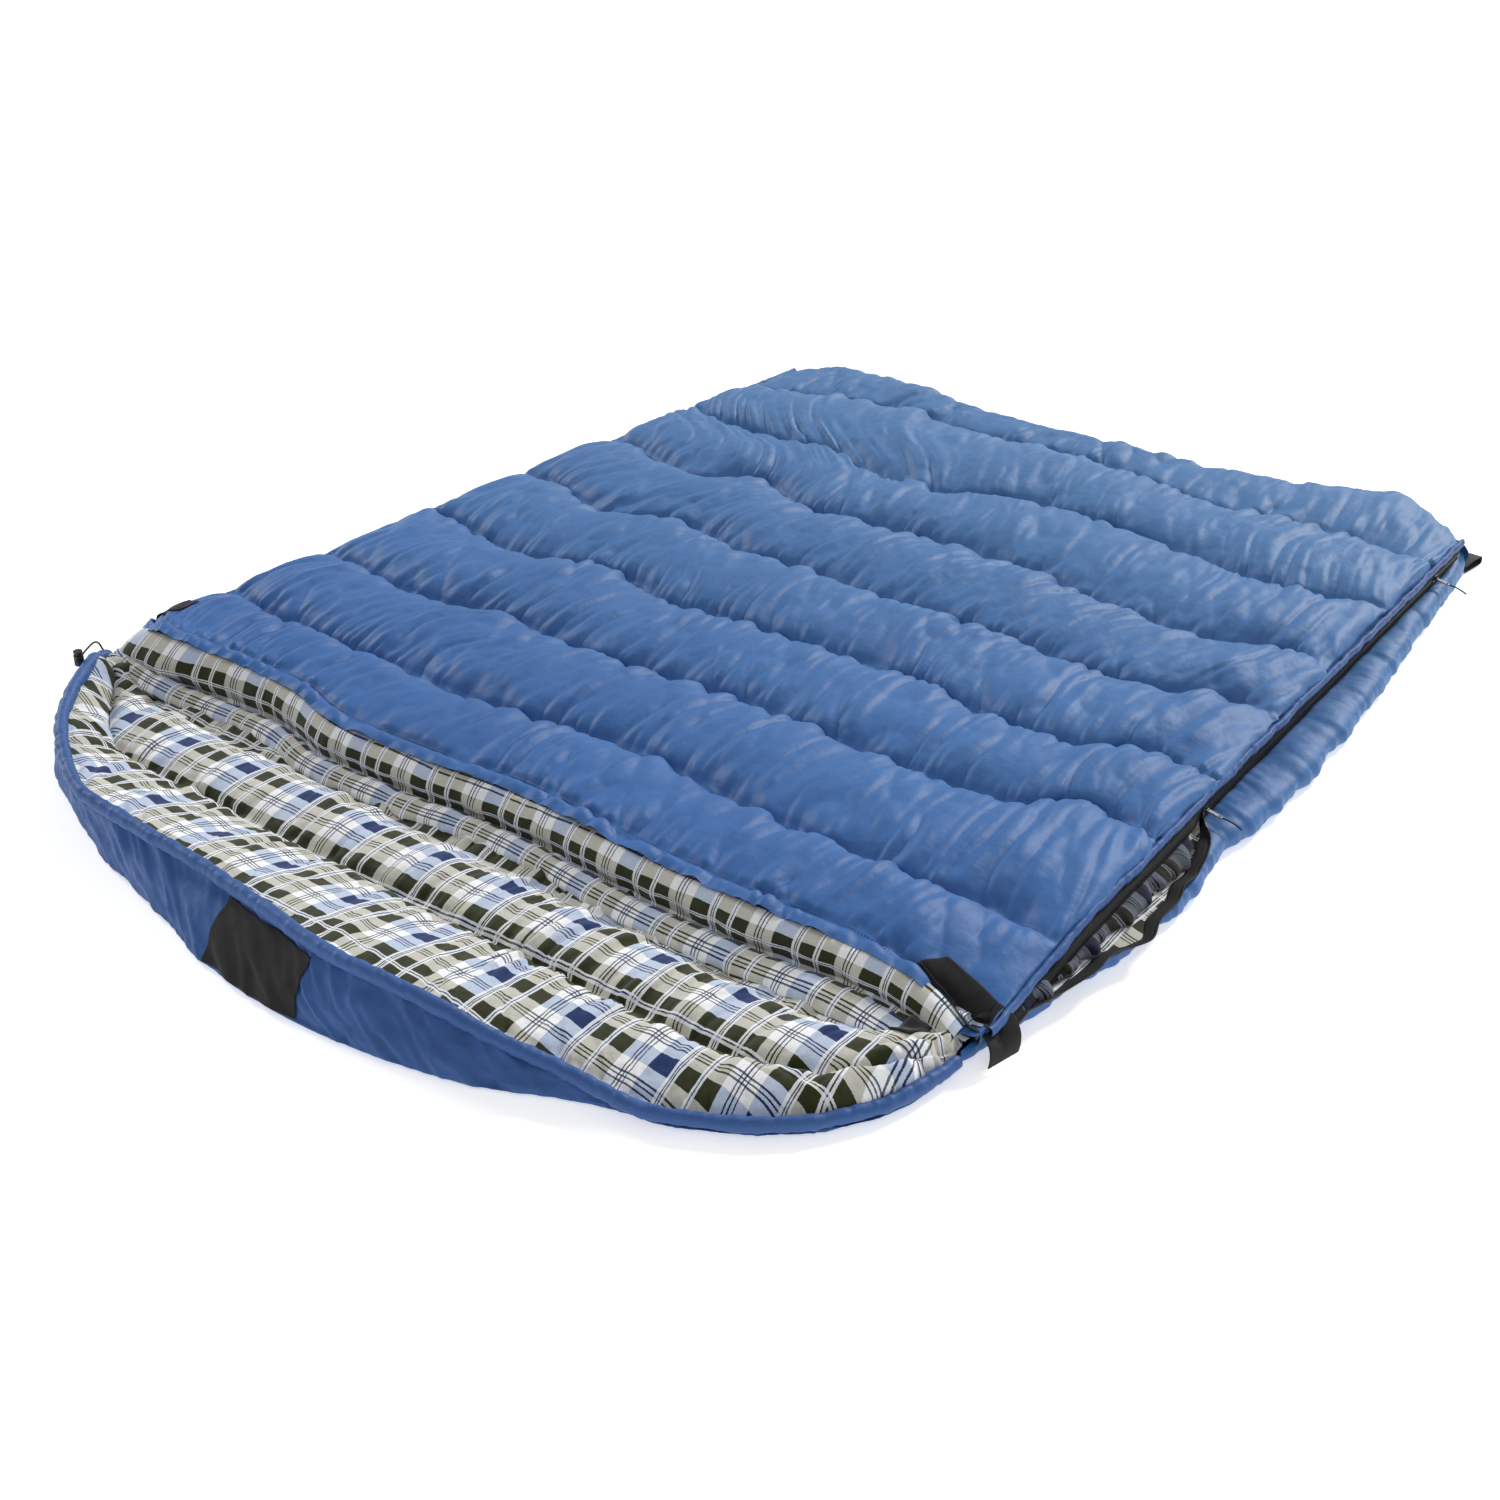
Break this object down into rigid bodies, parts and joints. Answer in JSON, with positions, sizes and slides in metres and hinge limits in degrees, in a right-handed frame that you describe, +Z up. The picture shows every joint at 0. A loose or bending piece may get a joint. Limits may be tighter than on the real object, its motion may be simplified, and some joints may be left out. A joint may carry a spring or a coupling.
{
  "type": "sleeping bag",
  "caption": "Rectangular two-person sleeping bag with quilted channels, plaid lining, drawcord hood, side zips with sliders and corner closure tabs.",
  "frame": {"origin": "bottom centre of the bag as it lies on the ground", "axes": "+Y from the hood towards the foot end, +Z up, +X towards the side whose zip stands open in view"},
  "size_m": [1.7414, 2.32, 0.1174],
  "materials": {
    "shell_fabric": "woven polyester, soft sheen",
    "plaid_lining": "brushed plaid flannel",
    "fill": "hollow-fibre batting",
    "zip_tape": "woven tape",
    "coil_plastic": "moulded coil",
    "slider_metal": "enamelled die casting",
    "stop_metal": "enamelled",
    "cord": "braided cord",
    "lock_plastic": "moulded",
    "spring_steel": "drawn wire",
    "label_fabric": "woven label cloth",
    "hook_loop": "hook-and-loop pile",
    "webbing": "woven webbing"
  },
  "bodies": {
    "base": {"bottom_fill": "fill", "bottom_lining": "plaid_lining", "bottom_shell": "shell_fabric", "foot_seam_binding": "shell_fabric", "inner_hook_strip": "hook_loop", "left_draft_tube": "plaid_lining", "left_foot_loop": "webbing", "left_hook_patch": "hook_loop", "left_lower_coil": "coil_plastic", "left_lower_tape": "zip_tape", "right_draft_tube": "plaid_lining", "right_foot_loop": "webbing", "right_hook_patch": "hook_loop", "right_lower_coil": "coil_plastic", "right_lower_tape": "zip_tape", "zip_end_stops": "stop_metal"},
    "right_mid_slider": {"right_mid_slider": "slider_metal"},
    "right_mid_pull": {"right_mid_pull_tab": "slider_metal", "right_mid_pull_cord": "cord"},
    "right_foot_slider": {"right_foot_slider": "slider_metal"},
    "right_foot_pull": {"right_foot_pull_tab": "slider_metal", "right_foot_pull_cord": "cord"},
    "left_mid_slider": {"left_mid_slider": "slider_metal"},
    "left_mid_pull": {"left_mid_pull_tab": "slider_metal", "left_mid_pull_cord": "cord"},
    "left_foot_slider": {"left_foot_slider": "slider_metal"},
    "left_foot_pull": {"left_foot_pull_tab": "slider_metal", "left_foot_pull_cord": "cord"},
    "right_closure": {"right_closure_tab": "label_fabric"},
    "left_closure": {"left_closure_tab": "label_fabric"},
    "cord_lock": {"cord_lock_body": "lock_plastic", "cord_lock_spring": "spring_steel"},
    "cord_lock_button": {"cord_lock_button": "lock_plastic"},
    "top_foot": {"left_upper_foot_coil": "coil_plastic", "left_upper_foot_tape": "zip_tape", "right_upper_foot_coil": "coil_plastic", "right_upper_foot_tape": "zip_tape", "top_foot_fill": "fill", "top_foot_lining": "plaid_lining", "top_foot_shell": "shell_fabric"},
    "top_head": {"draft_collar": "plaid_lining", "head_hem": "shell_fabric", "left_closure_patch": "label_fabric", "left_upper_head_coil": "coil_plastic", "left_upper_head_tape": "zip_tape", "right_closure_patch": "label_fabric", "right_upper_head_coil": "coil_plastic", "right_upper_head_tape": "zip_tape", "top_head_fill": "fill", "top_head_lining": "plaid_lining", "top_head_shell": "shell_fabric"},
    "hood": {"hood_drawcord": "cord", "hood_fill": "fill", "hood_label": "label_fabric", "hood_lining": "plaid_lining", "hood_rim_casing": "shell_fabric", "hood_shell": "shell_fabric", "hood_wall": "shell_fabric", "hood_wall_low": "shell_fabric", "drawcord_tail": "cord"}
  },
  "joints": [
    {"name": "top_open", "type": "hinge", "parent": "base", "child": "top_foot", "pos_m": [0, 1.098, 0.06], "axis": [-1, 0, 0], "range_deg": [0, 178]},
    {"name": "head_fold", "type": "hinge", "parent": "top_foot", "child": "top_head", "pos_m": [0, -0.01, 0.116], "axis": [-1, 0, 0], "range_deg": [0, 175]},
    {"name": "hood_lift", "type": "hinge", "parent": "base", "child": "hood", "pos_m": [0, -0.6965, 0.04], "axis": [-1, 0, 0], "range_deg": [0, 38]},
    {"name": "right_mid_slide", "type": "slide", "parent": "base", "child": "right_mid_slider", "axis": [-0.052, 0.9986, 0], "range_m": [-0.56, 0.3]},
    {"name": "right_mid_pull_swing", "type": "hinge", "parent": "right_mid_slider", "child": "right_mid_pull", "pos_m": [0.79957, -0.04462, 0.0568], "axis": [0.052, -0.9986, 0], "range_deg": [0, 95]},
    {"name": "right_foot_slide", "type": "slide", "parent": "base", "child": "right_foot_slider", "axis": [-0.052, 0.9986, 0], "range_m": [-0.6, 0.105]},
    {"name": "right_foot_pull_swing", "type": "hinge", "parent": "right_foot_slider", "child": "right_foot_pull", "pos_m": [0.74928, 0.92038, 0.0568], "axis": [0.052, -0.9986, 0], "range_deg": [0, 95]},
    {"name": "left_mid_slide", "type": "slide", "parent": "base", "child": "left_mid_slider", "axis": [0.0603, 0.9982, 0], "range_m": [-0.475, 0.3]},
    {"name": "left_mid_pull_swing", "type": "hinge", "parent": "left_mid_slider", "child": "left_mid_pull", "pos_m": [-0.82368, -0.04457, 0.0568], "axis": [0.0603, 0.9982, 0], "range_deg": [0, 95]},
    {"name": "left_foot_slide", "type": "slide", "parent": "base", "child": "left_foot_slider", "axis": [0.0603, 0.9982, 0], "range_m": [-0.62, 0.09]},
    {"name": "left_foot_pull_swing", "type": "hinge", "parent": "left_foot_slider", "child": "left_foot_pull", "pos_m": [-0.76419, 0.94043, 0.0568], "axis": [0.0603, 0.9982, 0], "range_deg": [0, 95]},
    {"name": "right_closure_open", "type": "hinge", "parent": "top_head", "child": "right_closure", "pos_m": [0.8195, -0.655, 0.1053], "axis": [0, -1, 0], "range_deg": [0, 120]},
    {"name": "left_closure_open", "type": "hinge", "parent": "top_head", "child": "left_closure", "pos_m": [-0.846, -0.567, 0.1053], "axis": [0, 1, 0], "range_deg": [0, 120]},
    {"name": "cord_lock_slide", "type": "slide", "parent": "hood", "child": "cord_lock", "axis": [-0.5506, 0.8348, 0], "range_m": [0, 0.018]},
    {"name": "cord_lock_press", "type": "slide", "parent": "cord_lock", "child": "cord_lock_button", "axis": [0, 0, 1], "range_m": [-0.004, 0], "stiffness_N_per_m": 300, "springref_m": 0.004, "deforming": ["cord_lock_spring"]}
  ]
}
